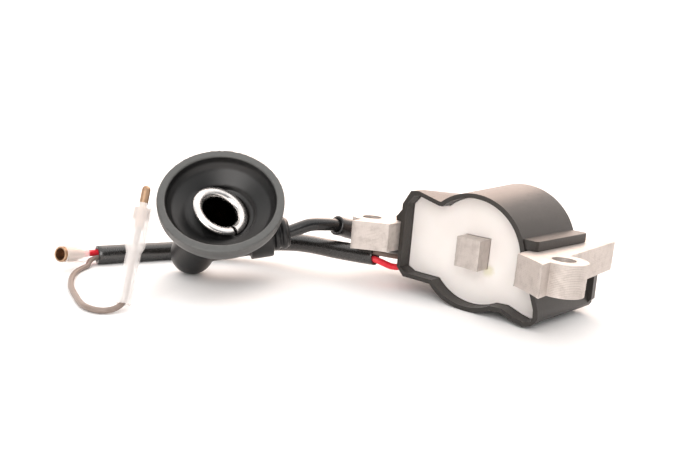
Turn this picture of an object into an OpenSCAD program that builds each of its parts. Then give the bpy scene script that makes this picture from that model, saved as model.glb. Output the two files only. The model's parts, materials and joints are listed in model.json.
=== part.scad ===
// Small engine ignition module: E core, potted coil case, high tension lead with a cupped
// plug boot, and a sleeved pair of wires that end in bullet terminals.
// Frame: +Z up along the mounting holes, -Y towards the flywheel, origin midway between
// the two mounting holes on the lower face of the core.

/* [Core] */
// Height of the lamination stack
core_h = 10; // [8:0.5:14]
// Distance between the two mounting holes
hole_gap = 72; // [70:1:76]
// Radius of a mounting hole
hole_r = 3.5; // [2.5:0.25:4]
// Outer radius of a mounting ear
ear_r = 7; // [6:0.25:8]
// Distance from the middle to the inner side of an outer leg
leg_in = 24; // [24:0.5:26]
// Distance from the middle to the outer side of an outer leg
leg_out = 35; // [34:0.5:36]
// Width of the centre leg
tooth_w = 9; // [8:0.5:10]
// Radius of the flywheel that the pole faces are cut to
flywheel_r = 56; // [50:1:64]
// Depth of the core from the centre pole face to the back of the yoke
core_back = 46; // [44:1:50]
// Width of the yoke at the back
yoke_w = 9; // [7:0.5:10]

/* [Case] */
// Sideways place of the coil and the centre leg
coil_x = 4.3; // [3:0.1:4.5]
// Outer radius of the round coil housing
case_r = 19.5; // [18:0.5:19.5]
// Wall of the moulded case
wall = 1.5; // [1.2:0.1:2]
// Depth of the case from its open rim to its back
case_d = 36; // [32:1:36]
// Depth of the potting face behind the centre pole face
pot_y = 6; // [4:0.5:8]

/* [High tension lead] */
// Diameter of the lead
lead_d = 4.8; // [4:0.1:5]
// Radius of the rubber grommet at the case
grommet_r = 3.8; // [3.5:0.1:4]

/* [Boot] */
// Outer radius of the cup's rim
cup_r = 20.5; // [18:0.5:21]
// Thickness of the cup's rim
rim_t = 2.6; // [2:0.1:3]
// Radius of the boot's stem
stem_r = 7.6; // [7.4:0.1:7.6]
// Radius of the plug ferrule's bore
ferrule_r = 6.1; // [5.8:0.1:6.2]

/* [Wires] */
// Outer diameter of the black sleeve
sleeve_d = 6.8; // [6.4:0.1:7]
// Diameter of the red wire
red_d = 2.4; // [1.8:0.1:2.4]
// Diameter of the grey wire
grey_d = 1.8; // [1.6:0.1:2]

/* [Hidden] */
$fn = 64;
mid_z = core_h / 2;
gap = 0.05;
ear_x = hole_gap / 2;

// ---- shared shapes ----

// A flat outline standing in the XZ plane, pushed back along +Y from y0 to y1
module upright(y0, y1) {
    translate([0, y1, 0]) rotate([90, 0, 0]) linear_extrude(y1 - y0) children();
}

// A round bar along +Y
module bar_y(x, y0, y1, z, r) {
    translate([x, y0, z]) rotate([-90, 0, 0]) cylinder(r = r, h = y1 - y0);
}

// Turns +Z towards a compass bearing (0 is -Y, 90 is +X) and an elevation
module aim(bearing, elevation) {
    rotate([0, 90 - elevation, bearing - 90]) children();
}

// Unit vector of the same bearing and elevation
function aimed(bearing, elevation) =
    [sin(bearing) * cos(elevation), -cos(bearing) * cos(elevation), sin(elevation)];

// ---- tubes swept along a route ----

function unit(v) = v / norm(v);
// Direction of the route at each of its points
function heading(route, i) =
    unit(route[min(i + 1, len(route) - 1)] - route[max(i - 1, 0)]);
function side_of(t) = unit(cross(t, [0, 0, 1]));
function ring(c, t, r, n) =
    let (s = side_of(t), u = cross(s, t))
    [for (k = [0 : n - 1]) c + r * (cos(360 * k / n) * s + sin(360 * k / n) * u)];
// One rounded point between each pair, so that the bends are smooth
function between(a, b, c, d) = (9 * (b + c) - a - d) / 16;
function rounded(route) = let (m = len(route) - 1) concat(
    [for (i = [0 : m - 1]) each [
        route[i],
        between(route[max(i - 1, 0)], route[i], route[i + 1], route[min(i + 2, m)])]],
    [route[m]]);
// A wire beside the route, r away from it, that turns round it from angle a0 to a1
function beside(route, r, a0, a1) = [for (i = [0 : len(route) - 1])
    let (t = heading(route, i), s = side_of(t), a = a0 + (a1 - a0) * i / (len(route) - 1))
    route[i] + r * (cos(a) * s + sin(a) * cross(s, t))];

module tube(route, r, n) {
    rings = len(route);
    points = [for (i = [0 : rings - 1]) each ring(route[i], heading(route, i), r, n)];
    sides = [for (i = [0 : rings - 2], k = [0 : n - 1])
        [i * n + k, (i + 1) * n + k, (i + 1) * n + (k + 1) % n, i * n + (k + 1) % n]];
    start = [for (k = [0 : n - 1]) k];
    finish = [for (k = [n - 1 : -1 : 0]) (rings - 1) * n + k];
    polyhedron(points, concat([start, finish], sides), convexity = 4);
}

// The same tube with a round hole of radius r_in along it, open at both ends
module pipe(route, r_out, r_in, n) {
    rings = len(route);
    inner = rings * n;
    points = [for (r = [r_out, r_in], i = [0 : rings - 1]) each ring(route[i], heading(route, i), r, n)];
    walls = [for (i = [0 : rings - 2], k = [0 : n - 1]) let (a = i * n + k, b = i * n + (k + 1) % n) each [
        [a, a + n, b + n, b],
        [inner + a, inner + b, inner + b + n, inner + a + n]]];
    last = inner - n;
    ends = [for (k = [0 : n - 1]) let (a = k, b = (k + 1) % n) each [
        [a, b, inner + b, inner + a],
        [last + b, last + a, last + inner + a, last + inner + b]]];
    polyhedron(points, concat(walls, ends), convexity = 6);
}

// ---- core ----

// Outline of the E, seen from above, before the pole faces are cut
module e_outline() {
    translate([-leg_out, core_back - yoke_w]) square([2 * leg_out, yoke_w]);
    for (s = [-1, 1]) {
        translate([s * (leg_in + leg_out) / 2 - (leg_out - leg_in) / 2, -20])
            square([leg_out - leg_in, core_back + 20]);
        translate([s * ear_x, 0]) circle(r = ear_r);
    }
    translate([coil_x - tooth_w / 2, -1]) square([tooth_w, core_back]);
}

rivet_x = [-16, coil_x, 22];
rivet_y = core_back - yoke_w / 2;
rivet_r = 1.5;

module core_stack() {
    color([0.72, 0.69, 0.65]) difference() {
        linear_extrude(core_h) difference() {
            e_outline();
            translate([0, -flywheel_r]) circle(r = flywheel_r, $fn = 180);
        }
        for (s = [-1, 1]) translate([s * ear_x, 0, -1]) cylinder(r = hole_r, h = core_h + 2);
        for (x = rivet_x) translate([x, rivet_y, -1]) cylinder(r = rivet_r, h = core_h + 2);
    }
}

module core_rivets() {
    head_r = 2.6;
    head_t = 0.7;
    color([0.62, 0.6, 0.58]) for (x = rivet_x) translate([x, rivet_y, 0]) {
        translate([0, 0, -head_t]) cylinder(r = head_r, h = head_t);
        cylinder(r = rivet_r, h = core_h);
        translate([0, 0, core_h]) cylinder(r = head_r, h = head_t);
    }
}

// ---- case and potting ----

block_l = -23.7;
block_top = 21.8;
block_floor = -8.8;

// Outline of the case seen from the flywheel, grown or shrunk by t
module case_outline(t) {
    translate([coil_x, mid_z]) circle(r = case_r + t, $fn = 120);
    polygon([[block_l - t, block_floor + 3], [block_l + 3 - t, block_floor - t], [-7, block_floor - t],
        [4, -10], [4, 18], [-9, 20 + t], [-17.5, block_top + 0.4 + t], [block_l + 3 - t, block_top + t],
        [block_l - t, block_top - 5]]);
    polygon([[12, -12 - t], [18, -11.6 - t], [22.5, -13.2 - t], [25.6, -13.9 - t],
        [28.2 + 0.6 * t, -13 - 0.8 * t], [29.6 + t, -11.6], [30.1 + t, -10.2],
        [29.9 + t, -7.7], [28.5 + t, -4], [27.6 + t, foot_top + t], [18, foot_top + t]]);
}

// The same outline as a solid from y0 to y1; the top of its left block falls towards the back
block_fall = 6.5;

module case_solid(t, y0, y1) {
    difference() {
        upright(y0, y1) case_outline(t);
        translate([-40, 4, block_top + 0.5 + t]) rotate([-block_fall, 0, 0]) cube([33, 60, 20]);
    }
}

// The foot under the right-hand leg: its side leans in towards the top and opens towards the back
foot_x = 30.2;
foot_flare = 5.5;
foot_top = -0.3;
plate_t = 3;

module foot() {
    intersection() {
        translate([foot_x, rim_y, 0]) rotate([0, 0, -foot_flare]) translate([-foot_x, -rim_y, 0])
            upright(-4, case_d + 4) polygon([[20, foot_top], [foot_x - 2.6, foot_top], [foot_x - 1.6, -4],
                [foot_x - 0.2, -7.7], [foot_x, -10.2], [foot_x - 0.6, -11.4], [26.5, -13.6], [20, -5]]);
        translate([16, rim_y, -20]) cube([30, case_d - rim_y, 20]);
    }
    upright(case_d - plate_t, case_d) polygon([[20, foot_top], [34.2, foot_top], [34.4, -8.6],
        [33, -10.4], [29, -12], [20, -9]]);
}

ledge_z = core_h + 0.2;
ledge_t = 3;
back_grow = 1.6;
tower_y = 24;
tower_z = -4.5;
tower_r = 4.1;
tower_tip = -28;
rim_y = 0.8;

module case_body() {
    case_solid(0, rim_y, case_d);
    foot();
    // above the core the round housing widens towards the back
    intersection() {
        translate([coil_x, rim_y, mid_z]) rotate([-90, 0, 0])
            cylinder(r1 = case_r, r2 = case_r + back_grow, h = case_d - rim_y, $fn = 120);
        translate([-40, 0, ledge_z]) cube([80, 60, 40]);
    }
    // ledges that rest on the outer legs
    translate([0, 0, ledge_z]) linear_extrude(ledge_t)
        polygon([[18, 1.5], [26.2, 1.5], [26.9, 2.2], [29.4, 33.2], [28.6, 34.4], [18, 34.4]]);
    upright(2.5, 28.5) polygon([[block_l + 3, ledge_z], [block_l - 3.2, ledge_z],
        [block_l - 3.4, ledge_z + 1.4], [block_l - 0.6, ledge_z + 5], [block_l + 3, ledge_z + 5]]);
    // collar round the lead's way out
    translate([tower_tip, tower_y, tower_z]) rotate([0, 90, 0]) cylinder(r = tower_r, h = 8);
}

module tooth_slot(y0, y1, play) {
    translate([coil_x - tooth_w / 2 - play, y0, -play])
        cube([tooth_w + 2 * play, y1 - y0, core_h + 2 * play]);
}

red_hole = [7.8, -6.2];
grey_hole = [11, -3.4];

// A bore along X for a wire of diameter d, at [y, z]
module wire_bore(at, d) {
    translate([block_l - 1, at[0], at[1]]) rotate([0, 90, 0]) cylinder(d = d + 0.1, h = 5);
}

module coil_case() {
    color([0.13, 0.12, 0.12]) difference() {
        case_body();
        case_solid(-wall, 0, case_d - wall);
        tooth_slot(case_d - 2 * wall, case_d + 1, gap);
        translate([tower_tip - 1, tower_y, tower_z]) rotate([0, 90, 0]) cylinder(d = lead_d + 0.1, h = 12);
        wire_bore(red_hole, red_d);
        wire_bore(grey_hole, grey_d);
    }
}

// Space taken by the parts that the resin surrounds
coil_y0 = 10;
coil_y1 = 33;
shell_r = 15.4;
board_x = -15;

module potting() {
    color([0.93, 0.9, 0.84]) difference() {
        case_solid(-wall - 0.01, pot_y, case_d - wall);
        tooth_slot(0, case_d, gap);
        bar_y(coil_x, coil_y0 - gap, coil_y1 + gap, mid_z, shell_r + gap);
        translate([board_x - 5.2, 11.9, -4.4]) cube([10.4, 20.2, 20.8]);
        translate([-30, tower_y, tower_z]) rotate([0, 90, 0]) cylinder(d = lead_d + 0.1, h = 16);
        wire_bore(red_hole, red_d);
        wire_bore(grey_hole, grey_d);
    }
}

// ---- coil ----

// A profile of [radius, place along Y] turned round the centre leg
module turned() {
    translate([coil_x, 0, mid_z]) rotate([-90, 0, 0]) rotate_extrude($fn = 96) children();
}

primary_in = 8;
primary_out = 10.2;
flange_t = 1;

module primary_bobbin() {
    color([0.2, 0.2, 0.22]) difference() {
        turned() {
            translate([0, coil_y0]) square([primary_in, coil_y1 - coil_y0]);
            for (y = [coil_y0, coil_y1 - flange_t]) translate([0, y]) square([primary_out + 0.3, flange_t]);
        }
        tooth_slot(0, case_d, gap);
    }
}

module primary_winding() {
    color([0.72, 0.4, 0.2]) turned() translate([primary_in + gap, coil_y0 + flange_t + gap])
        square([primary_out - primary_in - gap, coil_y1 - coil_y0 - 2 * flange_t - 2 * gap]);
}

second_in = 10.7;
second_core = 11.6;
sections = 5;
section_pitch = (coil_y1 - coil_y0 - flange_t) / sections;

module secondary_bobbin() {
    color([0.85, 0.82, 0.7]) turned() {
        translate([second_in, coil_y0]) square([second_core - second_in, coil_y1 - coil_y0]);
        for (i = [0 : sections]) translate([second_in, coil_y0 + i * section_pitch])
            square([shell_r - second_in, flange_t]);
    }
}

module secondary_winding() {
    color([0.66, 0.34, 0.16]) turned() for (i = [0 : sections - 1])
        translate([second_core + gap, coil_y0 + i * section_pitch + flange_t + gap])
            square([shell_r - second_core - 0.5, section_pitch - flange_t - 2 * gap]);
}

// ---- trigger electronics ----

board_t = 1.6;

module circuit_board() {
    color([0.2, 0.42, 0.25]) translate([board_x, 12, -4.3]) cube([board_t, 20, 20.6]);
}

module charge_capacitor() {
    color([0.75, 0.35, 0.15]) translate([board_x - 5.1, 14, 6]) cube([5, 12, 9]);
}

module thyristor() {
    color([0.1, 0.1, 0.1]) translate([board_x - 4.1, 17, -3.5]) difference() {
        translate([2.2, 2.3, 0]) cylinder(r = 2.3, h = 4.6);
        translate([4, -1, -1]) cube([2, 7, 7]);
    }
}

module diodes() {
    color([0.15, 0.15, 0.15]) for (z = [1.8, 4.4])
        translate([board_x - 2.3, 22, z]) rotate([-90, 0, 0]) cylinder(r = 1.2, h = 5);
}

module resistors() {
    color([0.8, 0.7, 0.5]) for (y = [14.5, 19.5, 24.5])
        translate([board_x + board_t + 1.15, y, 2]) cylinder(r = 1.1, h = 6.5);
}

module ht_terminal() {
    color([0.8, 0.62, 0.3]) translate([-19.75, tower_y, tower_z]) rotate([0, 90, 0]) {
        cylinder(r = 1.8, h = 1.2);
        cylinder(r = 0.6, h = 4.6);
    }
}

// ---- boot ----

cup_at = [-58, -51.5, 16.5];
cup_bearing = 48;
cup_tilt = 46;
stem_bearing = 83;
stem_tilt = 46;
ferrule_depth = 6;
stem_l = 26.5;
stem_axis = aimed(stem_bearing, stem_tilt);
ferrule_at = cup_at - ferrule_depth * aimed(cup_bearing, cup_tilt);
stem_end = ferrule_at - stem_l * stem_axis;
branch_bearing = 146.5;
branch_tilt = 9.5;
branch_l = 32.5;
branch_axis = aimed(branch_bearing, branch_tilt);
branch_at = stem_end + 5 * stem_axis;
branch_tip = branch_at + branch_l * branch_axis;
bore_r = lead_d / 2 + 0.05;

// Half outline of the cup: radius, height above its rim plane
module cup_profile() {
    polygon([[0, -14.5], [8.5, -13.8], [14, -11.6], [18.4, -8], [20.2, -4.6], [cup_r, -3], [cup_r, 0],
        [cup_r - rim_t, 0], [cup_r - rim_t - 0.3, -2.6], [16.2, -4.6], [11.2, -7.4], [10.6, -9.2],
        [0, -9.2]]);
}

module boot_solid() {
    translate(cup_at) aim(cup_bearing, cup_tilt) rotate_extrude($fn = 96) cup_profile();
    translate(stem_end) aim(stem_bearing, stem_tilt) {
        sphere(r = stem_r);
        cylinder(r = stem_r, h = stem_l - 4);
        translate([0, 0, stem_l - 12]) cylinder(r1 = stem_r, r2 = 10.8, h = 8);
    }
    translate(branch_at) aim(branch_bearing, branch_tilt) {
        cylinder(r = 6.4, h = branch_l - 9);
        translate([0, 0, branch_l - 14.5]) cylinder(r = 7.8, h = 8);
        for (i = [0 : 1]) translate([0, 0, branch_l - 5.6 + 2.8 * i]) cylinder(r = 5.9, h = 1.7);
        cylinder(r = 5.2, h = branch_l);
    }
}

ferrule_t = 0.8;
contact_z = 8.2;
ferrule_tube = 14;

module spark_boot() {
    color([0.09, 0.09, 0.1]) difference() {
        boot_solid();
        // chamber for the ferrule, open to the cup
        translate(ferrule_at) aim(stem_bearing, stem_tilt) {
            translate([0, 0, -ferrule_tube - 2])
                cylinder(r = ferrule_r + ferrule_t + gap, h = ferrule_tube + 6);
            translate([0, 0, -2]) cylinder(r = 10, h = 7);
            translate([0, 0, contact_z - stem_l]) cylinder(r = 3.5, h = 4);
        }
        // keeps the bowl open where the stem is blended in
        translate(cup_at) aim(cup_bearing, cup_tilt) rotate_extrude($fn = 96) polygon([[0, 2], [0, -7.2],
            [11.2, -7.2], [16.2, -4.6], [cup_r - rim_t - 0.3, -2.6], [cup_r - rim_t, 2]]);
        translate(branch_at) aim(branch_bearing, branch_tilt) {
            cylinder(r = bore_r, h = branch_l + 1);
            translate([0, 0, branch_l - 4]) cylinder(r1 = bore_r, r2 = bore_r + 0.6, h = 5);
        }
    }
}

// Sprung split sleeve with a turned-out lip, which grips the plug's shield
module plug_ferrule() {
    color([0.78, 0.77, 0.74]) translate(ferrule_at) aim(stem_bearing, stem_tilt) difference() {
        union() {
            translate([0, 0, -ferrule_tube]) cylinder(r = ferrule_r + ferrule_t, h = ferrule_tube);
            translate([0, 0, -1.2]) cylinder(r = 9.8, h = 1.2);
        }
        translate([0, 0, -ferrule_tube - 1]) cylinder(r = ferrule_r, h = ferrule_tube + 2);
        rotate([0, 0, 12]) translate([0, -0.35, -ferrule_tube - 1]) cube([12, 0.7, ferrule_tube + 2]);
    }
}

// Brass spring clip in the stem that meets the plug's tip
module boot_contact() {
    color([0.82, 0.66, 0.36]) translate(stem_end) aim(stem_bearing, stem_tilt) {
        translate([0, 0, contact_z]) cylinder(r = 3.4, h = 1.2);
        translate([0, 0, contact_z + 1.2]) rotate_extrude() translate([2.2, 0]) square([0.5, 3]);
    }
}

// ---- high tension lead ----

lead_route = [[-19.8, 24, -4.5], [-28, 24, -4.5], [-36, 23, -4.3], [-42, 19.5, -3], [-46.5, 13.5, -0.5],
    [-49, 6, 2], [-50.6, -2.6, 4.4], [-51.9, -7.8, 5], [-54.4, -13.6, 4.8]];

function lead_path() = rounded(concat(lead_route,
    [for (d = [branch_l, 24, lead_stop]) branch_at + d * branch_axis]));

module ht_lead() {
    color([0.08, 0.08, 0.08]) tube(lead_path(), lead_d / 2, 12);
}

// Rubber grommet over the lead, from the case to a little past the ear
module lead_grommet() {
    part = rounded(concat([lead_route[1] - [0.4, 0, 0]], [for (i = [2 : 6]) lead_route[i]]));
    color([0.1, 0.1, 0.1]) pipe(part, grommet_r, lead_d / 2 + 0.1, 12);
}

lead_stop = 9;

// Brass spike in the end of the lead, inside the boot
module lead_terminal() {
    color([0.82, 0.66, 0.36]) translate(branch_at) aim(branch_bearing, branch_tilt) {
        translate([0, 0, lead_stop - 1]) cylinder(r = 2.2, h = 1);
        translate([0, 0, 1]) cylinder(r = 1, h = lead_stop - 1.5);
    }
}

// ---- sleeved wires ----

// The grey wire's pin stands against the rim of the boot
pin_foot = [-57.9, -85.6, -10.8];
pin_tip = [-70, -71.3, 19.6];
pin_axis = unit(pin_tip - pin_foot);
pin_tilt = asin(pin_axis[2]);
pin_bearing = atan2(pin_axis[0], -pin_axis[1]);
pin_l = norm(pin_tip - pin_foot);
pin_r = 1.3;

sleeve_route = [[-33, 0, -4], [-41, -1.5, -4.4], [-50, -3.8, -4.5], [-63.5, -8, -4.4], [-78, -14, -6.5],
    [-90, -24, -9], [-97.5, -36, -10.8], [-102, -48, -11.1], [-107.5, -67.5, -11.1]];
sleeve_t = 0.7;

module wire_sleeve() {
    color([0.07, 0.07, 0.07]) pipe(rounded(sleeve_route), sleeve_d / 2, sleeve_d / 2 - sleeve_t, 10);
}

// Socket on the red wire: where the wire enters it, and which way it points
red_at = [-106, -75.2, -9.4];
red_bearing = 18;
red_tilt = 10;
red_axis = aimed(red_bearing, red_tilt);

twist = 145;
red_start = -115;
grey_start = 65;
red_route = concat([[-21.5, red_hole[0], red_hole[1]], [-24.8, red_hole[0], red_hole[1]],
    [-26.6, 6.2, -7.4], [-28.9, 3.9, -7.3]], beside(sleeve_route, 1.25, red_start, red_start + twist),
    [red_at - 3.2 * red_axis, red_at - 1.3 * red_axis, red_at + 1.4 * red_axis]);
grey_route = concat([[-21.5, grey_hole[0], grey_hole[1]], [-24.8, grey_hole[0], grey_hole[1]],
    [-28, 7.6, -4.2]], beside(sleeve_route, 1.25, grey_start, grey_start + twist),
    [[-103.9, -72.9, -13.4], [-100.4, -78.2, -13.6], [-94.5, -83.2, -13.6], [-84.5, -88.6, -13.6],
    [-74.3, -92.1, -13.6], [-67.5, -94, -13.6], [-63, -94.4, -13.5], [-59.4, -93.4, -13.5],
    [-57.5, -91.5, -13.45], [-56.9, -89.2, -13.1], [-57.2, -87, -12.3]],
    [for (d = [0, 2.5, 6, 13, pin_l - 11.2]) pin_foot + d * pin_axis]);

module red_wire() {
    color([0.85, 0.08, 0.1]) tube(rounded(red_route), red_d / 2, 8);
}

module grey_wire() {
    color([0.45, 0.4, 0.38]) tube(rounded(grey_route), grey_d / 2, 8);
}

// ---- bullet terminals ----

// Socket: a brass barrel crimped on the red wire, open at its far end
socket_l = 8.5;
socket_r = 2;
socket_deep = 5.5;

module red_terminal() {
    color([0.85, 0.66, 0.4]) translate(red_at) aim(red_bearing, red_tilt) difference() {
        union() {
            translate([0, 0, -1.2]) cylinder(r = 1.7, h = 3);
            translate([0, 0, 1.5]) cylinder(r = socket_r + 0.6, h = socket_l - 1.5);
        }
        translate([0, 0, socket_l - socket_deep]) cylinder(r = socket_r, h = socket_deep + 1);
        translate([0, 0, -2]) cylinder(r = red_d / 2 + 0.03, h = 3.6);
    }
}

module red_terminal_sleeve() {
    color([0.95, 0.92, 0.9, 0.5]) translate(red_at) aim(red_bearing, red_tilt) difference() {
        translate([0, 0, -2]) cylinder(r = 3.4, h = 9.8);
        translate([0, 0, -4]) cylinder(r = 2.9, h = 12);
    }
}

contact_l = 5;
nose_l = 1.2;
shoulder_r = 2.3;
sleeve_top = pin_l - contact_l - nose_l - 0.3;

module on_pin() {
    translate(pin_foot) aim(pin_bearing, pin_tilt) children();
}

// Pin: crimped on the grey wire, with a shoulder that its clear sleeve slides over
module grey_terminal() {
    color([0.62, 0.5, 0.34]) on_pin() {
        difference() {
            union() {
                translate([0, 0, pin_l - 14]) cylinder(r = 1.4, h = 5);
                translate([0, 0, pin_l - 11]) cylinder(r = shoulder_r, h = 3.5);
            }
            translate([0, 0, pin_l - 15]) cylinder(r = grey_d / 2 + 0.03, h = 4);
        }
        translate([0, 0, pin_l - 9]) cylinder(r = pin_r - 0.2, h = 9 - nose_l);
        translate([0, 0, pin_l - contact_l - nose_l]) cylinder(r = pin_r, h = contact_l);
        translate([0, 0, pin_l - nose_l]) cylinder(r1 = pin_r - 0.05, r2 = pin_r - 0.7, h = nose_l);
    }
}

// Clear cover in two widths: narrow over the wire, wide over the pin's shoulder
neck_r = 2.2;
neck_end = pin_l - 21.8;
cone_l = 2;

module cover_shape(r1, r2) {
    translate([0, 0, -2]) cylinder(r = r1, h = neck_end + 2);
    translate([0, 0, neck_end]) cylinder(r1 = r1, r2 = r2, h = cone_l);
    translate([0, 0, neck_end + cone_l]) cylinder(r = r2, h = sleeve_top - neck_end - cone_l);
}

module grey_terminal_sleeve() {
    color([0.96, 0.94, 0.93, 0.5]) on_pin() difference() {
        cover_shape(neck_r, shoulder_r + 0.75);
        cover_shape(neck_r - 0.5, shoulder_r + 0.25);
        translate([0, 0, -3]) cylinder(r = neck_r - 0.5, h = 4);
        translate([0, 0, sleeve_top - 1]) cylinder(r = shoulder_r + 0.25, h = 4);
    }
}

core_stack();
core_rivets();
coil_case();
potting();
primary_bobbin();
primary_winding();
secondary_bobbin();
secondary_winding();
circuit_board();
charge_capacitor();
thyristor();
diodes();
resistors();
ht_terminal();
ht_lead();
lead_grommet();
lead_terminal();
spark_boot();
plug_ferrule();
boot_contact();
wire_sleeve();
red_wire();
grey_wire();
red_terminal();
red_terminal_sleeve();
grey_terminal();
grey_terminal_sleeve();
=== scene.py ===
# %% [markdown]
# # A small engine's ignition module
#
# The real part is a potted coil on a steel core, a plug lead that ends in a cupped rubber boot,
# and two thin wires in a black sleeve that end in bullet terminals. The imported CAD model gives
# every size and place. This lesson adds what a drawing leaves out: rounded edges, stacked
# laminations, soft rubber, real wires, and a finish for each surface.

# %% Load the frame
import bpy
import bmesh
import json
import random
from math import cos, radians, sin
from mathutils import Matrix, Vector


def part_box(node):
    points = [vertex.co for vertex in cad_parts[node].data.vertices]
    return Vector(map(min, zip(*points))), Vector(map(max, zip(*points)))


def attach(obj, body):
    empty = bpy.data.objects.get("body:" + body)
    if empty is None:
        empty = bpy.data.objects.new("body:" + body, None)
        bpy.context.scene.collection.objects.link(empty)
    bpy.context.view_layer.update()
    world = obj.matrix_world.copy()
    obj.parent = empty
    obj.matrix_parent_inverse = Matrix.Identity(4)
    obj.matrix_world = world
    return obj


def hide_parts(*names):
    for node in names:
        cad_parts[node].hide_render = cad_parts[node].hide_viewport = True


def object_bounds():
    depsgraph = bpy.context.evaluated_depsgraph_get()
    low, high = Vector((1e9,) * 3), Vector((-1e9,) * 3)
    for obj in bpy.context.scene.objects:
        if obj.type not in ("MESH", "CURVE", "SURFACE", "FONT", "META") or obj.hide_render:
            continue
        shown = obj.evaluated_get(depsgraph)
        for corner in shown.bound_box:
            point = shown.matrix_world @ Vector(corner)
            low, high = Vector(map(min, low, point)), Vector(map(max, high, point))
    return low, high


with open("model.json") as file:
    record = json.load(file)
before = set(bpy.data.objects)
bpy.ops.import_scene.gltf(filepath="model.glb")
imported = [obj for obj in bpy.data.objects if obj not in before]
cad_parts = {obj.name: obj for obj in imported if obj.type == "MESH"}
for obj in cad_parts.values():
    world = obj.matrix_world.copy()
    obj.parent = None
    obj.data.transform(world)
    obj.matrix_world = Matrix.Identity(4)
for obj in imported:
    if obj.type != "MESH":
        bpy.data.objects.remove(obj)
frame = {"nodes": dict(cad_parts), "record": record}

cad_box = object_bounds()
record = frame["record"]
MM = 0.001


def mount(name):
    """(place, axis) of one of the record's mounts."""
    found = next(m for m in record["mounts"] if m["name"] == name)
    return Vector(found["pos_m"]), Vector(found["axis"]).normalized()


print("CAD box in mm:", [[round(v / MM, 1) for v in corner] for corner in cad_box])

# %% [markdown]
# ## Camera, floor and light
#
# The module lies on a table and is seen from its front right, a little above the table.
# The camera is turned slightly about its own line of sight, as a hand-held one is, so its
# rotation is built from a heading, a fall and a roll instead of being aimed at a target.

# %% Camera
def put_camera(place, azimuth, elevation, roll, lens):
    """A camera at place that looks along azimuth, falling by elevation, turned by roll."""
    level = Matrix.Rotation(radians(azimuth), 4, "Z") @ Matrix.Rotation(radians(90 - elevation), 4, "X")
    camera = bpy.data.objects.new("camera", bpy.data.cameras.new("camera"))
    camera.matrix_world = Matrix.Translation(place) @ level @ Matrix.Rotation(radians(roll), 4, "Z")
    camera.data.lens = lens
    camera.data.clip_start = 0.005
    bpy.context.scene.collection.objects.link(camera)
    bpy.context.scene.camera = camera


put_camera(Vector((106.9, -183.3, 50.5)) * MM, azimuth=40.65, elevation=11.05, roll=4.51, lens=34.3)

# %% Floor
table_z = -14.5 * MM
floor_reach = 6
floor_bm = bmesh.new()
bmesh.ops.create_grid(floor_bm, x_segments=1, y_segments=1, size=floor_reach)
bmesh.ops.translate(floor_bm, verts=floor_bm.verts, vec=(0, 0, table_z))
floor_mesh = bpy.data.meshes.new("floor")
floor_bm.to_mesh(floor_mesh)
floor_bm.free()
floor = bpy.data.objects.new("floor", floor_mesh)
bpy.context.scene.collection.objects.link(floor)

# %% [markdown]
# A white sweep shows no horizon, so the sky behind the part and the floor are both as white as
# paper. The sky is bright and a little warm in front of the camera and dim behind it, which
# leaves the black parts dark and puts warm light on every edge that faces away. A wide warm
# panel hangs behind the part, a nearly neutral one in front fills the shadows, and a bright ceiling
# lights the floor evenly.

# %% Light
def soft_panel(name, place, target, size, power, colour):
    """A square area light at place that faces target."""
    light = bpy.data.lights.new(name, "AREA")
    light.shape = "SQUARE"
    light.size = size
    light.energy = power
    light.color = colour
    panel = bpy.data.objects.new(name, light)
    panel.location = place
    panel.rotation_euler = (Vector(target) - Vector(place)).to_track_quat("-Z", "Y").to_euler()
    bpy.context.scene.collection.objects.link(panel)


middle = (cad_box[0] + cad_box[1]) / 2
soft_panel("back_panel", (-0.35, 0.55, 0.42), middle, size=0.5, power=2.6, colour=(1.0, 0.72, 0.58))
soft_panel("front_panel", (0.28, -0.6, 0.3), middle, size=0.5, power=3.5, colour=(1.0, 0.96, 0.93))

ceiling_light = bpy.data.lights.new("ceiling", "SUN")
ceiling_light.energy = 1.5
ceiling_light.angle = radians(100)
ceiling_light.color = (1.0, 0.98, 0.96)
bpy.context.scene.collection.objects.link(bpy.data.objects.new("ceiling", ceiling_light))

# %% [markdown]
# ## Shader maths
#
# A finish is easier to read as a sum than as a list of nodes. `Signal` wraps a socket, so that
# `0.3 + 0.2 * grain` adds the Math nodes it needs. `Finish` holds one material: constants go
# straight on its shader, and whatever varies over the surface is plugged in.

# %% Signals and finishes
class Signal:
    """A socket that can be used in a sum."""

    def __init__(self, graph, socket):
        self.graph = graph
        self.socket = socket

    def __add__(self, other):
        return self.graph.maths("ADD", self, other)

    def __sub__(self, other):
        return self.graph.maths("SUBTRACT", self, other)

    def __rsub__(self, other):
        return self.graph.maths("SUBTRACT", other, self)

    def __mul__(self, other):
        return self.graph.maths("MULTIPLY", self, other)

    __radd__ = __add__
    __rmul__ = __mul__


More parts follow.
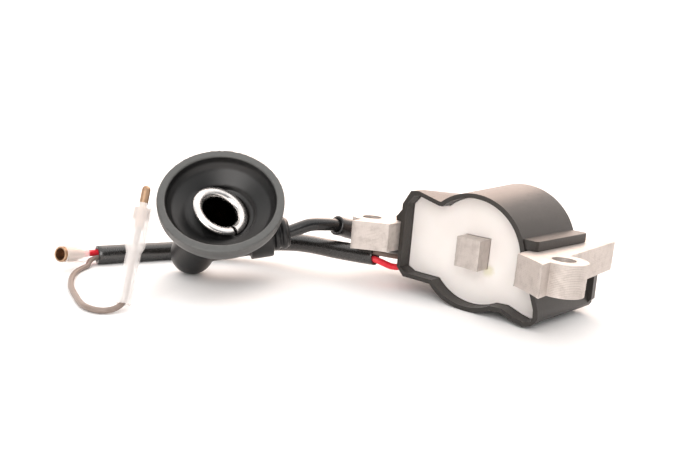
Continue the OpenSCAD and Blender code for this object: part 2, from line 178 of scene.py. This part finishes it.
class Graph:
    """Adds nodes to a node tree."""

    def __init__(self, tree):
        self.tree = tree

    def fill(self, node, sockets):
        """Sets a node's sockets to values, or links them to signals."""
        for key, value in sockets.items():
            if isinstance(value, Signal):
                self.tree.links.new(value.socket, node.inputs[key])
            else:
                node.inputs[key].default_value = value

    def node(self, kind, settings=None, sockets=None, out=0):
        """Any node: settings first, then the values or links of its sockets."""
        node = self.tree.nodes.new(kind)
        for key, value in (settings or {}).items():
            setattr(node, key, value)
        self.fill(node, sockets or {})
        return Signal(self, node.outputs[out])

    def maths(self, operation, first, second):
        return self.node("ShaderNodeMath", {"operation": operation}, {0: first, 1: second})

    def vector(self, operation, first, second=(0, 0, 0), out=0):
        """A Vector Math node. Its length or dot product is output 1."""
        return self.node("ShaderNodeVectorMath", {"operation": operation}, {0: first, 1: second}, out)

    def ramp(self, signal, start, end, low=0.0, high=1.0):
        """The signal's stretch from start to end, eased into low to high."""
        return self.node("ShaderNodeMapRange", {"interpolation_type": "SMOOTHSTEP"},
                         {0: signal, 1: start, 2: end, 3: low, 4: high})

    def blend(self, factor, first, second):
        """A colour between two others."""
        return self.node("ShaderNodeMix", {"data_type": "RGBA"}, {0: factor, 6: first, 7: second}, out=2)


class Finish(Graph):
    """A material whose pattern is measured in millimetres of the piece's own coordinates."""

    def __init__(self, name, **constants):
        self.material = bpy.data.materials.new(name)
        self.material.use_nodes = True
        super().__init__(self.material.node_tree)
        self.tree.nodes.clear()
        self.shader = self.tree.nodes.new("ShaderNodeBsdfPrincipled")
        surface = self.tree.nodes.new("ShaderNodeOutputMaterial")
        self.tree.links.new(self.shader.outputs[0], surface.inputs[0])
        self.wear(**constants)
        place = self.node("ShaderNodeTexCoord", out="Object")
        self.mm = self.node("ShaderNodeVectorMath", {"operation": "SCALE"}, {0: place, "Scale": 1 / MM})

    def noise(self, scale, stretch=(1, 1, 1), detail=3, rough=0.5):
        """Noise with scale features to a millimetre, pulled out along an axis by a small stretch."""
        place = self.vector("MULTIPLY", self.mm, stretch)
        return self.node("ShaderNodeTexNoise", {}, {"Vector": place, "Scale": scale, "Detail": detail,
                                                    "Roughness": rough})

    def along(self, origin, axis):
        """Distance from origin along an axis, in mm."""
        return self.vector("DOT_PRODUCT", self.vector("SUBTRACT", self.mm, origin), axis, out=1)

    def away(self, origin, axis):
        """Distance from the line through origin along an axis, in mm."""
        across = self.vector("CROSS_PRODUCT", self.vector("SUBTRACT", self.mm, origin), axis)
        return self.vector("LENGTH", across, out=1)

    def wear(self, **values):
        """Sets or plugs inputs of the shader, such as Base_Color or Roughness."""
        self.fill(self.shader, {key.replace("_", " "): value for key, value in values.items()})
        return self

    def bump(self, height, depth_mm):
        """Raises the surface by up to depth_mm where height is 1."""
        normal = self.node("ShaderNodeBump", {}, {"Strength": 1.0, "Distance": depth_mm * MM,
                                                  "Height": height})
        return self.wear(Normal=normal)


def grey(level, warm=0.0):
    """An opaque colour of that level, a little warmer or cooler."""
    return (level * (1 + warm), level, level * (1 - warm), 1)


# %% Sky and floor
world = bpy.data.worlds.new("studio")
world.use_nodes = True
sky = Graph(world.node_tree)
direction = sky.node("ShaderNodeTexCoord", out="Generated")
ahead = sky.vector("DOT_PRODUCT", direction, (-0.65, 0.76, 0.05), out=1)
back_light = sky.ramp(ahead, -0.1, 0.85)
fill_light = sky.ramp(ahead, -0.9, 0.1)
dim = sky.blend(fill_light, (0.16, 0.175, 0.19, 1), (0.7, 0.7, 0.7, 1))
sky_colour = sky.blend(back_light, dim, (2.1, 1.85, 1.72, 1))
sky.fill(world.node_tree.nodes["Background"], {"Color": sky_colour})
bpy.context.scene.world = world
bpy.context.scene.view_settings.view_transform = "Standard"

paper = Finish("paper", Roughness=0.9, Specular_IOR_Level=0.1)
fibre = paper.noise(0.8, detail=5)
paper.wear(Base_Color=paper.blend(fibre, grey(0.9), grey(0.94)))
floor.data.materials.append(paper.material)

# %% [markdown]
# ## Finishes
#
# Each finish mixes two or three scales: broad blotches that change the colour a little, a fine
# grain for the roughness, and a shallow bump. The depth of the bump is the real one, a few
# hundredths of a millimetre on moulded plastic and less on drawn tube.

# %% Black plastics and rubber
def black_moulding(name, level, warm, rough, grain_depth, stretch=(1, 1, 1), gloss=0.5):
    """A dark moulded surface with a fine grain and faint handling marks."""
    finish = Finish(name, Specular_IOR_Level=gloss)
    blotch = finish.noise(0.12, detail=4)
    grain = finish.noise(3, stretch, detail=4, rough=0.6)
    scuffs = finish.ramp(finish.noise(0.9, (1, 0.25, 1), detail=6, rough=0.7), 0.56, 0.74)
    finish.dirt = blotch * 0.7 + scuffs * 0.3
    finish.wear(Base_Color=finish.blend(finish.dirt, grey(level, warm), grey(level * 2.4, warm)),
                Roughness=rough - 0.1 + 0.14 * grain + 0.12 * scuffs)
    return finish.bump(grain * 0.8 + blotch * 0.6, grain_depth)


case_black = black_moulding("case_black", 0.013, 0.16, 0.46, 0.08, (1, 1, 0.35))
boot_black = black_moulding("boot_black", 0.006, 0.02, 0.42, 0.03)
lead_black = black_moulding("lead_black", 0.005, 0.0, 0.28, 0.012, gloss=0.7)
sleeve_black = black_moulding("sleeve_black", 0.006, 0.1, 0.3, 0.015, gloss=0.95)

# %% [markdown]
# The flat of the boot's rim and the band outside it are painted a lighter grey. This is partly
# rubber worn grey by handling and partly painted sheen: the sky reflected in the rim face and the
# table's bounce light on the band. The mask is made from the height and the radius about the
# cup's own axis.

# %% Rim wear and painted sheen
cup_at = Vector((-58, -51.5, 16.5))
cup_heading = radians(48)
cup_rise = radians(46)
cup_axis = Vector((sin(cup_heading) * cos(cup_rise), -cos(cup_heading) * cos(cup_rise), sin(cup_rise)))
rim_face = boot_black.ramp(boot_black.along(cup_at, cup_axis), -0.9, -0.35)
rim_side = boot_black.ramp(boot_black.away(cup_at, cup_axis), 19.3, 20.1)
in_cup = boot_black.ramp(boot_black.along(cup_at, cup_axis), -6, -4.5)
# The grey mask below is partly wear and partly painted sheen from the sky and the table.
rubbed_and_sheen = boot_black.maths("MAXIMUM", rim_face, rim_side * in_cup * 0.8)
rubbed_and_sheen = rubbed_and_sheen * (0.75 + 0.35 * boot_black.noise(0.5, detail=5))
new_rubber = boot_black.blend(boot_black.dirt, grey(0.006), grey(0.015))
boot_black.wear(Base_Color=boot_black.blend(rubbed_and_sheen, new_rubber, (0.09, 0.092, 0.089, 1)))

# %% Steel and brass
def bare_metal(name, light, dark, rough, stretch, metallic=1.0):
    """Metal with drawn or sheared streaks along the short side of stretch, and a dull stain."""
    stain = 0.35
    finish = Finish(name, Metallic=metallic)
    streaks = finish.noise(5, stretch, detail=5, rough=0.65)
    dull = finish.ramp(finish.noise(0.35, detail=5, rough=0.6), 0.42, 0.72)
    finish.colour = finish.blend(streaks * (1 - stain) + dull * stain, light, dark)
    finish.wear(Base_Color=finish.colour, Roughness=rough + 0.16 * streaks + 0.14 * dull)
    return finish.bump(streaks, 0.02)


core_steel = bare_metal("core_steel", (0.66, 0.6, 0.56, 1), (0.42, 0.375, 0.345, 1), 0.42, (1, 1, 0.06),
                        metallic=0.55)
rivet_steel = bare_metal("rivet_steel", (0.6, 0.59, 0.57, 1), (0.36, 0.34, 0.32, 1), 0.3, (1, 1, 1))
ferrule_steel = bare_metal("ferrule_steel", (0.86, 0.83, 0.81, 1), (0.6, 0.57, 0.55, 1), 0.14,
                           (0.3, 0.3, 0.3))
brass = bare_metal("brass", (0.58, 0.39, 0.25, 1), (0.27, 0.165, 0.11, 1), 0.34, (1, 1, 0.3))
copper = bare_metal("copper", (0.62, 0.26, 0.12, 1), (0.4, 0.15, 0.07, 1), 0.3, (1, 0.2, 1))

# %% [markdown]
# The ferrule is bright where it was rolled outwards and nearly black down its tube, deep inside
# the boot: the black down the tube is painted shade.

# %% Painted shade in the ferrule
plug_at, plug_axis = mount("plug_socket")
lip_at = plug_at / MM + 7 * plug_axis
# Painted shade: nearly black deeper down the tube, inside the boot.
depth = ferrule_steel.ramp(ferrule_steel.along(lip_at, plug_axis), -2.6, -1.2, 1.0, 0.0)
ferrule_steel.wear(Base_Color=ferrule_steel.blend(depth, ferrule_steel.colour, (0.012, 0.011, 0.01, 1)))

# %% [markdown]
# Cured resin is a little cloudy, with pinholes. A brown-green trace of flux has run from one
# corner of the core's centre leg.

# %% Resin
leg_corner = (9.2, 6, -0.6)
resin = Finish("resin", Subsurface_Weight=0.05)
cloud = resin.noise(0.1, detail=4)
pits = resin.ramp(resin.noise(1.6, detail=2), 0.24, 0.3, 1.0, 0.0)
clean_resin = resin.blend(cloud, (0.8, 0.73, 0.69, 1), (0.88, 0.83, 0.8, 1))
from_corner = resin.vector("LENGTH", resin.vector("SUBTRACT", resin.mm, leg_corner), out=1)
flux = resin.ramp(from_corner + 1.5 * resin.noise(0.6), 1.4, 3.6, 0.6, 0.0)
resin.wear(Base_Color=resin.blend(flux, clean_resin, (0.6, 0.56, 0.34, 1)),
           Roughness=0.38 + 0.2 * cloud + 0.2 * pits)
resin.bump(cloud * 1.6 - pits * 0.5 + 0.05 * resin.noise(2.2), 0.12)

# %% Plastics with a colour
def tinted(name, first, second, rough, **constants):
    """A smooth coloured plastic that varies a little along its length."""
    finish = Finish(name, **constants)
    drift = finish.noise(0.5, detail=4)
    fine = finish.noise(5)
    finish.wear(Base_Color=finish.blend(drift, first, second), Roughness=rough + 0.12 * fine)
    return finish.bump(fine * 0.4 + drift, 0.015)


red_pvc = tinted("red_pvc", (0.8, 0.012, 0.03, 1), (0.9, 0.05, 0.07, 1), 0.3)
grey_pvc = tinted("grey_pvc", (0.19, 0.145, 0.12, 1), (0.27, 0.21, 0.18, 1), 0.36)
clear_pvc = tinted("clear_pvc", (0.93, 0.89, 0.87, 1), (0.97, 0.95, 0.94, 1), 0.12,
                   Alpha=0.34, Coat_Weight=0.5)
bobbin_white = tinted("bobbin_white", (0.72, 0.66, 0.55, 1), (0.8, 0.75, 0.66, 1), 0.45)
board_green = tinted("board_green", (0.03, 0.16, 0.05, 1), (0.06, 0.24, 0.08, 1), 0.35)
film_orange = tinted("film_orange", (0.5, 0.13, 0.03, 1), (0.62, 0.2, 0.06, 1), 0.25)
chip_black = tinted("chip_black", (0.012, 0.012, 0.013, 1), (0.03, 0.03, 0.03, 1), 0.45)
lacquer_tan = tinted("lacquer_tan", (0.5, 0.36, 0.2, 1), (0.6, 0.47, 0.3, 1), 0.3)

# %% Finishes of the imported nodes
node_finish = {
    "core_stack": core_steel, "core_rivets": rivet_steel, "coil_case": case_black, "potting": resin,
    "primary_bobbin": bobbin_white, "primary_winding": copper, "secondary_bobbin": bobbin_white,
    "secondary_winding": copper, "circuit_board": board_green, "charge_capacitor": film_orange,
    "thyristor": chip_black, "diodes": chip_black, "resistors": lacquer_tan, "ht_terminal": brass,
    "ht_lead": lead_black, "lead_grommet": lead_black, "lead_terminal": brass, "spark_boot": boot_black,
    "plug_ferrule": ferrule_steel, "boot_contact": brass, "wire_sleeve": sleeve_black, "red_wire": red_pvc,
    "grey_wire": grey_pvc, "red_terminal": brass, "red_terminal_sleeve": clear_pvc, "grey_terminal": brass,
    "grey_terminal_sleeve": clear_pvc,
}
for node_name, finish in node_finish.items():
    mesh = frame["nodes"][node_name].data
    mesh.materials.clear()
    mesh.materials.append(finish.material)
print(len(node_finish), "nodes have a finish")

# %% [markdown]
# ## Building blocks
#
# Most pieces here are either a softened copy of a CAD node or a profile spun about a line. A copy
# keeps every size, and only its edges change. A spun profile suits turned and rolled metal.

# %% Helpers
node_body = {node: body for body, nodes in record["behaviour"]["bodies"].items() for node in nodes}
weld = 0.002 * MM


def finish_piece(obj, *nodes):
    """Gives a new object the first node's finish, slot and body, and lets it stand for the nodes."""
    obj.data.materials.append(node_finish[nodes[0]].material)
    bpy.context.scene.collection.objects.link(obj)
    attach(obj, node_body[nodes[0]])
    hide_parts(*nodes)
    return obj


def mesh_piece(bm, name, *nodes):
    """The bmesh as a smooth-shaded piece that stands for the nodes."""
    mesh = bpy.data.meshes.new(name)
    bm.to_mesh(mesh)
    bm.free()
    mesh.shade_smooth()
    obj = finish_piece(bpy.data.objects.new(name, mesh), *nodes)
    print(f"{name}: {len(mesh.polygons)} faces")
    return obj


def copy_of(node):
    """A bmesh of a CAD node, with its loose triangles joined into whole faces."""
    bm = bmesh.new()
    bm.from_mesh(frame["nodes"][node].data)
    bmesh.ops.remove_doubles(bm, verts=bm.verts, dist=weld)
    bmesh.ops.dissolve_limit(bm, angle_limit=radians(0.6), verts=bm.verts, edges=bm.edges)
    return bm


def soften(bm, width_mm, segments=2, over=35):
    """Bevels every edge that turns by more than an angle."""
    sharp = [e for e in bm.edges if len(e.link_faces) == 2 and e.calc_face_angle(0) > radians(over)]
    bmesh.ops.bevel(bm, geom=sharp, offset=width_mm * MM, offset_type="OFFSET", segments=segments,
                    profile=0.5, affect="EDGES", clamp_overlap=True, material=-1)


def even_shading(obj):
    """Lets the large faces set the normals, so that only the bevels look round."""
    weighted = obj.modifiers.new("even_shading", "WEIGHTED_NORMAL")
    weighted.keep_sharp = True


def spun(profile, steps=64, angle=360):
    """A closed outline of (radius, height) points in mm, spun about Z."""
    bm = bmesh.new()
    points = [bm.verts.new((r * MM, 0, z * MM)) for r, z in profile]
    edges = [bm.edges.new((a, b)) for a, b in zip(points, points[1:] + points[:1])]
    whole = angle == 360
    start = [] if whole else [bm.faces.new(points)]
    bmesh.ops.spin(bm, geom=start or points + edges, axis=(0, 0, 1), cent=(0, 0, 0), angle=radians(angle),
                   steps=steps, use_merge=whole, use_duplicate=False)
    bmesh.ops.remove_doubles(bm, verts=bm.verts, dist=0.001 * MM)
    bmesh.ops.recalc_face_normals(bm, faces=bm.faces)
    return bm


def standing(bm, origin, axis, facing=(0, 0, 1)):
    """Stands a spun piece at origin with its Z along axis and its X turned towards facing."""
    up = Vector(axis).normalized()
    side = up.cross(Vector(facing)).normalized()
    turned = Matrix((side.cross(up), side, up)).transposed().to_4x4()
    bm.transform(Matrix.Translation(origin) @ turned)
    return bm


# %% [markdown]
# ## Cords
#
# The lead and the wires are curves with a round section. A route of a few given points is
# rounded three times by putting a new point between each pair. The two thin wires
# share the black sleeve and turn round each other in it.

# %% Routes
def between(a, b, c, d):
    """The point midway from b to c on a smooth curve through all four."""
    return (9 * (b + c) - a - d) / 16


def rounded(route):
    """The route with one more point on each stretch, which leaves the old points in place."""
    last = len(route) - 1
    out = []
    for i in range(last):
        out.append(route[i])
        out.append(between(route[max(i - 1, 0)], route[i], route[i + 1], route[min(i + 2, last)]))
    return out + [route[last]]


def smooth(route):
    """The route with seven more points on each stretch."""
    return rounded(rounded(rounded(route)))


def beside(route, r, start, end):
    """A line r away from the route, which turns round it from one angle to the other."""
    out = []
    last = len(route) - 1
    for i, point in enumerate(route):
        ahead = (route[min(i + 1, last)] - route[max(i - 1, 0)]).normalized()
        side = ahead.cross(Vector((0, 0, 1))).normalized()
        angle = radians(start + (end - start) * i / last)
        out.append(point + r * (cos(angle) * side + sin(angle) * side.cross(ahead)))
    return out


def points(*places):
    """Places in mm as vectors."""
    return [Vector(place) for place in places]


lead_d = 4.8
red_d = 2.4
grey_d = 1.8
branch_l = 32.5
lead_stop = 9
wire_offset = 1.25
swivel = next(j for j in record["behaviour"]["joints"] if j["name"] == "boot_swivel")
branch_at = Vector(swivel["pos_m"]) / MM
branch_axis = Vector(swivel["axis"]).normalized()
lead_route = points((-19.8, 24, -4.5), (-28, 24, -4.5), (-36, 23, -4.3), (-42, 19.5, -3), (-46.5, 13.5, -0.5),
                    (-49, 6, 2), (-50.6, -2.6, 4.4), (-51.9, -7.8, 5), (-54.4, -13.6, 4.8))
sleeve_route = points((-33, 0, -4), (-41, -1.5, -4.4), (-50, -3.8, -4.5), (-63.5, -8, -4.4), (-78, -14, -6.5),
                      (-90, -24, -9), (-97.5, -36, -10.8), (-102, -48, -11.1), (-107.5, -67.5, -11.1))

stem_end = lip_at - 26.5 * plug_axis
socket_at, red_axis = mount("red_wire_socket")
red_at = socket_at / MM - 5.75 * red_axis
pin_at, pin_axis = mount("grey_wire_pin")
pin_tip = pin_at / MM + 3.7 * pin_axis
pin_foot = Vector((-57.9, -85.6, -10.8))
pin_l = (pin_tip - pin_foot).length

red_route = (
    points((-21.5, 7.8, -6.2), (-24.8, 7.8, -6.2), (-26.6, 6.2, -7.4), (-28.9, 3.9, -7.3))
    + beside(sleeve_route, wire_offset, -115, 30)
    + [red_at - 3.2 * red_axis, red_at - 1.3 * red_axis, red_at + 1.4 * red_axis])
grey_route = (
    points((-21.5, 11, -3.4), (-24.8, 11, -3.4), (-28, 7.6, -4.2))
    + beside(sleeve_route, wire_offset, 65, 210)
    + points((-103.9, -72.9, -13.4), (-100.4, -78.2, -13.6), (-94.5, -83.2, -13.6), (-84.5, -88.6, -13.6),
             (-74.3, -92.1, -13.6), (-67.5, -94, -13.6), (-63, -94.4, -13.5), (-59.4, -93.4, -13.5),
             (-57.5, -91.5, -13.45), (-56.9, -89.2, -13.1), (-57.2, -87, -12.3))
    + [pin_foot + d * pin_axis for d in (0, 2.5, 6, 13, pin_l - 11.2)])


# %% Cord curves
def route_length(route):
    """Length in metres of a route in mm."""
    return sum((b - a).length for a, b in zip(route, route[1:])) * MM


def cord_curve(name, route, diameter, node, widths=None, caps=True):
    """A round cord along a route in mm. widths scales the section at each of its points."""
    line = smooth(route)
    curve = bpy.data.curves.new(name, "CURVE")
    curve.dimensions = "3D"
    curve.bevel_depth = diameter / 2 * MM
    curve.bevel_resolution = 5
    curve.use_fill_caps = caps
    spline = curve.splines.new("POLY")
    spline.points.add(len(line) - 1)
    spline.use_smooth = True
    for i, (point, place) in enumerate(zip(spline.points, line)):
        point.co = (*(place * MM), 1)
        point.radius = widths(i / (len(line) - 1)) if widths else 1
    print(f"{name}: {route_length(line) / MM:.0f} mm long")
    return finish_piece(bpy.data.objects.new(name, curve), node)


lead_line = lead_route + [branch_at + d * branch_axis for d in (branch_l, 24, lead_stop)]
lead = cord_curve("plug_lead", lead_line, lead_d, "ht_lead")
red_cord = cord_curve("red_wire_cord", red_route, red_d, "red_wire")
grey_cord = cord_curve("grey_wire_cord", grey_route, grey_d, "grey_wire")


# %% Tubes over the cords
def tube_curve(name, route, diameter, wall, node, widths=None):
    """An open tube: a cord without ends, whose wall is then given its thickness."""
    tube = cord_curve(name, route, diameter, node, widths, caps=False)
    thick = tube.modifiers.new("wall", "SOLIDIFY")
    thick.thickness = wall * MM
    thick.offset = -1
    thick.use_rim = True
    return tube


sleeve = tube_curve("black_sleeve", sleeve_route, 6.8, 0.7, "wire_sleeve")
grommet_route = [lead_route[1] - Vector((0.4, 0, 0))] + lead_route[2:7]
grommet = tube_curve("lead_grommet_rubber", grommet_route, 7.6, 1.2, "lead_grommet",
                     widths=lambda t: 1.0 if t < 0.9 else 0.97)

# %% [markdown]
# ## Core
#
# The core is a stack of punched plates. Each plate is the flat underside of the CAD core given a
# plate's thickness and a fine chamfer, then copied upwards with a tiny sideways shift, because
# punched plates never line up perfectly.

# %% Laminations
plate_t = 0.5
seam = 0.02
low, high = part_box("core_stack")
plates = round((high.z - low.z) / MM / plate_t)
core_bm = copy_of("core_stack")
upper = [f for f in core_bm.faces if not (f.normal.z < -0.99 and f.calc_center_median().z < low.z + 0.1 * MM)]
bmesh.ops.delete(core_bm, geom=upper, context="FACES")
bmesh.ops.solidify(core_bm, geom=core_bm.faces[:], thickness=(plate_t - seam) * MM)
bmesh.ops.recalc_face_normals(core_bm, faces=core_bm.faces)
soften(core_bm, 0.05, segments=1, over=50)
floor_of_plate = min(v.co.z for v in core_bm.verts)
bmesh.ops.translate(core_bm, verts=core_bm.verts, vec=(0, 0, low.z - floor_of_plate))
shift = random.Random(4)
one_plate = core_bm.verts[:] + core_bm.edges[:] + core_bm.faces[:]
for i in range(1, plates):
    copied = bmesh.ops.duplicate(core_bm, geom=one_plate)["geom"]
    step = (shift.uniform(-0.03, 0.03) * MM, shift.uniform(-0.03, 0.03) * MM, i * plate_t * MM)
    bmesh.ops.translate(core_bm, verts=[v for v in copied if isinstance(v, bmesh.types.BMVert)], vec=step)
core = mesh_piece(core_bm, "laminated_core", "core_stack")
even_shading(core)

# %% Case
case_bm = copy_of("coil_case")
soften(case_bm, 0.5)
case = mesh_piece(case_bm, "rounded_case", "coil_case")
even_shading(case)

# %% [markdown]
# ## Resin
#
# Poured resin creeps up whatever it touches and sinks a little where it is thick. The open face
# of the CAD fill is inset twice from its border, and each inner part is set a little deeper, so
# that a raised rim is left along the case and round the core's centre leg.

# %% Resin fill
fill_bm = copy_of("potting")
front = min(v.co.y for v in fill_bm.verts)
face = [f for f in fill_bm.faces if f.normal.y < -0.99 and abs(f.calc_center_median().y - front) < 0.1 * MM]
for width, sink in ((0.3, 0.16), (0.5, 0.08)):
    bmesh.ops.inset_region(fill_bm, faces=face, thickness=width * MM, use_boundary=True, use_even_offset=True)
    bmesh.ops.translate(fill_bm, verts=list({v for f in face for v in f.verts}), vec=(0, sink * MM, 0))
fill = mesh_piece(fill_bm, "resin_fill", "potting")
even_shading(fill)

# %% Rivets
rivet_xs = (-16, 4.3, 22)
rivet_y = 41.5
rivet_bm = bmesh.new()
for x in rivet_xs:
    one = spun([(0, -0.7), (1.2, -0.66), (2, -0.48), (2.5, -0.2), (2.6, 0), (1.5, 0), (1.5, 10), (2.6, 10),
                (2.5, 10.2), (2, 10.48), (1.2, 10.66), (0, 10.7)], steps=40)
    bmesh.ops.translate(one, verts=one.verts, vec=Vector((x, rivet_y, 0)) * MM)
    scrap = bpy.data.meshes.new("scrap")
    one.to_mesh(scrap)
    rivet_bm.from_mesh(scrap)
    bpy.data.meshes.remove(scrap)
    one.free()
rivets = mesh_piece(rivet_bm, "domed_rivets", "core_rivets")
even_shading(rivets)

# %% [markdown]
# ## Boot
#
# The rubber boot is one moulding, so its cup, stem and branch flow into each other. A voxel
# remesh of the CAD solid joins them, and a short smoothing rounds every edge by a few tenths of a
# millimetre.

# %% Rubber boot
boot_bm = bmesh.new()
boot_bm.from_mesh(frame["nodes"]["spark_boot"].data)
bmesh.ops.remove_doubles(boot_bm, verts=boot_bm.verts, dist=weld)
boot = mesh_piece(boot_bm, "rubber_boot", "spark_boot")
voxels = boot.modifiers.new("voxels", "REMESH")
voxels.mode = "VOXEL"
voxels.voxel_size = 0.36 * MM
voxels.use_smooth_shade = True
rounding = boot.modifiers.new("rounding", "SMOOTH")
rounding.factor = 0.5
rounding.iterations = 5

# %% Ferrule
flare = [(6.1, -14), (6.1, -2.2), (6.25, -1.3), (6.7, -0.6), (7.4, -0.15), (8.3, 0), (9.1, -0.12),
         (9.65, -0.5), (9.8, -0.95), (9.7, -1.2), (9.4, -1.15), (8.9, -0.85), (8.2, -0.78), (7.5, -1),
         (7.05, -1.5), (6.9, -2.3), (6.9, -14)]
slit_angle = 6.2
ferrule_bm = spun(flare, steps=140, angle=360 - slit_angle)
slit_heading = Matrix.Rotation(radians(slit_angle / 2), 3, plug_axis) @ Vector((0.724, 0.121, -0.679))
standing(ferrule_bm, lip_at * MM, plug_axis, facing=slit_heading)
ferrule = mesh_piece(ferrule_bm, "split_ferrule", "plug_ferrule")
even_shading(ferrule)

# %% Contact clip
clip_bm = spun([(0, 0), (3.3, 0), (3.4, 0.1), (3.4, 1.1), (3.3, 1.2), (2.8, 1.2), (2.7, 1.3), (2.7, 3.9),
                (2.6, 4.2), (2.3, 4.2), (2.2, 3.9), (2.2, 1.2), (0, 1.2)], steps=48)
clip_at = stem_end + 8.2 * plug_axis
clip = mesh_piece(standing(clip_bm, clip_at * MM, plug_axis), "contact_clip", "boot_contact")
even_shading(clip)

# %% Spike in the end of the lead
spike_bm = spun([(0, 0.9), (0.35, 1), (0.9, 1.9), (1, 2.1), (1, 7.9), (1.2, 8), (2.1, 8), (2.2, 8.1),
                 (2.2, 8.9), (2.1, 9), (0, 9)], steps=32)
spike = mesh_piece(standing(spike_bm, branch_at * MM, branch_axis), "lead_spike", "lead_terminal")
even_shading(spike)

# %% [markdown]
# ## Terminals
#
# Both bullet terminals are drawn brass: a rolled mouth or a rounded nose, a shoulder, and a neck
# with two crimp grooves where it grips the wire. Each has a clear cover that slides over it.

# %% Bullet terminals
socket_bm = spun([(0, 1.6), (1.23, 1.6), (1.23, -1.2), (1.7, -1.2), (1.7, -0.6), (1.58, -0.45), (1.58, -0.15),
                  (1.7, 0), (1.7, 0.35), (1.58, 0.5), (1.58, 0.8), (1.7, 0.95), (1.75, 1.3), (2.3, 1.6),
                  (2.6, 1.95), (2.6, 7.9), (2.54, 8.25), (2.4, 8.45), (2.22, 8.45), (2.06, 8.25), (2, 7.9),
                  (2, 3), (0, 3)], steps=56)
red_socket = mesh_piece(standing(socket_bm, red_at * MM, red_axis), "brass_socket", "red_terminal")
even_shading(red_socket)

pin_profile = [(0, 0), (0.5, -0.02), (0.85, -0.2), (1.12, -0.6), (1.27, -1.1), (1.3, -1.4), (1.3, -6),
               (1.2, -6.2), (1.1, -6.3), (1.1, -7.45), (1.3, -7.5), (2, -7.55), (2.25, -7.75), (2.3, -8),
               (2.3, -10.5), (2.25, -10.8), (2, -11), (1.4, -11.05), (1.4, -11.8), (1.28, -11.95),
               (1.28, -12.25), (1.4, -12.4), (1.4, -12.75), (1.28, -12.9), (1.28, -13.2), (1.4, -13.35),
               (1.4, -14), (0.93, -14), (0.93, -11), (0, -11)]
pin_bm = spun(pin_profile, steps=48)
grey_pin = mesh_piece(standing(pin_bm, pin_tip * MM, pin_axis), "brass_pin", "grey_terminal")
even_shading(grey_pin)

# %% Clear covers
def cover(name, foot, axis, outline, wall, node):
    """A clear tube: outline gives its outer (radius, height) points from the wire's end up."""
    (low_r, low_z), (high_r, high_z) = outline[0], outline[-1]
    inside = [(r - wall, z) for r, z in reversed(outline[1:-1])]
    profile = ([(low_r - 0.1, low_z), (low_r, low_z + 0.15)] + outline[1:-1]
               + [(high_r, high_z - 0.15), (high_r - 0.1, high_z), (high_r - wall + 0.1, high_z),
                  (high_r - wall, high_z - 0.15)]
               + inside + [(low_r - wall, low_z + 0.15), (low_r - wall + 0.1, low_z)])
    made = mesh_piece(standing(spun(profile, steps=56), foot * MM, axis), name, node)
    even_shading(made)
    return made


red_cover = cover("red_wire_cover", red_at, red_axis, [(3.2, -2), (3.2, -1.4), (3.4, -0.4), (3.4, 7.8)], 0.5,
                  "red_terminal_sleeve")
neck = pin_l - 21.8
grey_cover = cover("grey_wire_cover", pin_foot, pin_axis,
                   [(2.2, -2), (2.2, neck - 0.3), (2.35, neck + 0.3), (2.9, neck + 1.7), (3.05, neck + 2.3),
                    (3.05, pin_l - 6.5)], 0.5, "grey_terminal_sleeve")

# %% [markdown]
# ## Inside the resin
#
# The coil and the trigger parts can't be seen once the resin is poured. They still get rounded
# edges, and the windings a streaked copper finish.

# %% Buried pieces
def rounded_copy(node, width):
    """A copy of a CAD node whose edges are bevelled by width in mm."""
    bm = copy_of(node)
    soften(bm, width)
    even_shading(mesh_piece(bm, "rounded_" + node, node))


for node, width in (("primary_bobbin", 0.12), ("primary_winding", 0.1), ("secondary_bobbin", 0.12),
                    ("secondary_winding", 0.1), ("circuit_board", 0.08), ("charge_capacitor", 0.5),
                    ("thyristor", 0.25), ("diodes", 0.2), ("resistors", 0.3), ("ht_terminal", 0.1)):
    rounded_copy(node, width)

# %% [markdown]
# ## What each cord is
#
# The lengths are those of the routes, from where each cord leaves its joint in the case.

route_length(smooth(lead_line))
red_route[0] * MM
route_length(smooth(red_route))
grey_route[0] * MM
route_length(smooth(grey_route))
